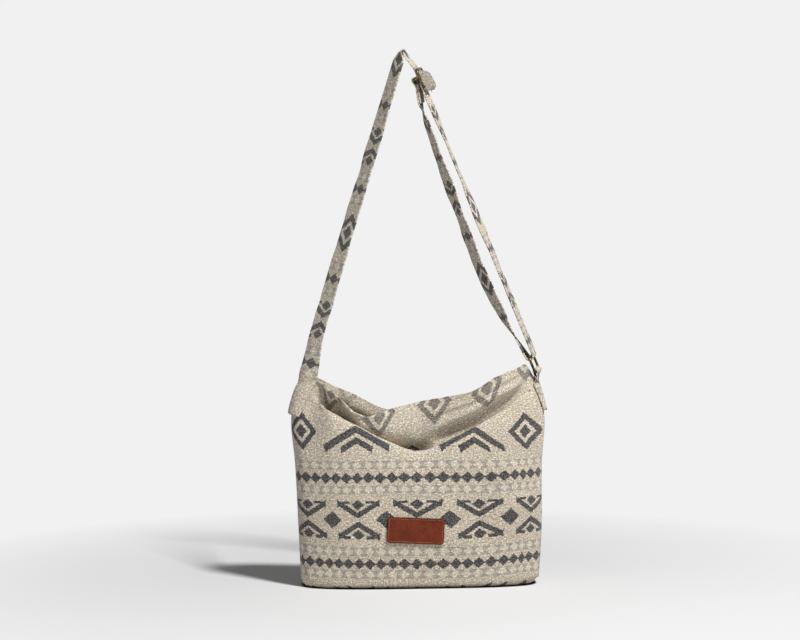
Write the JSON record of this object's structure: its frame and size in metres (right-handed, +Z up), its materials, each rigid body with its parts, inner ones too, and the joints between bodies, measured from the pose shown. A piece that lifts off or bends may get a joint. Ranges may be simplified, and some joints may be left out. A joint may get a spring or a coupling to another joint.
{
  "type": "crossbody bag",
  "caption": "Soft woven crossbody bag with boxed corners, a slumped open mouth, a leather label and an adjustable cloth strap on a brass ring and slider.",
  "frame": {"origin": "on the floor, under the middle of the whole part, strap included", "axes": "+Z up from the base to the raised strap, +X to the right as seen from the front, the labelled front faces -Y"},
  "size_m": [0.3112, 0.099, 0.6425],
  "materials": {
    "woven_cloth": "matt slubby weave with charcoal and grey bands",
    "strap_cloth": "the same weave, folded to a strip",
    "label_leather": "smooth tan leather with darker edges",
    "antique_brass": "dark antique brass, rubbed bright on its edges"
  },
  "bodies": {
    "bag": {"front_panel": "woven_cloth", "back_panel": "woven_cloth", "leather_label": "label_leather", "shoulder_strap": "strap_cloth", "strap_return": "strap_cloth", "ring_tab": "strap_cloth"},
    "ring": {"strap_ring": "antique_brass"},
    "slider": {"strap_slider": "antique_brass"}
  },
  "joints": [
    {"name": "ring_swing", "type": "hinge", "parent": "bag", "child": "ring", "pos_m": [0.14402, 0.0015, 0.256], "axis": [0.285, 0.9511, 0.1193], "range_deg": [-15, 60], "deforming": ["strap_return"]},
    {"name": "slider_slide", "type": "slide", "parent": "bag", "child": "slider", "axis": [0.3862, 0, -0.9224], "range_m": [-0.008, 0.3], "deforming": ["strap_return"]}
  ]
}
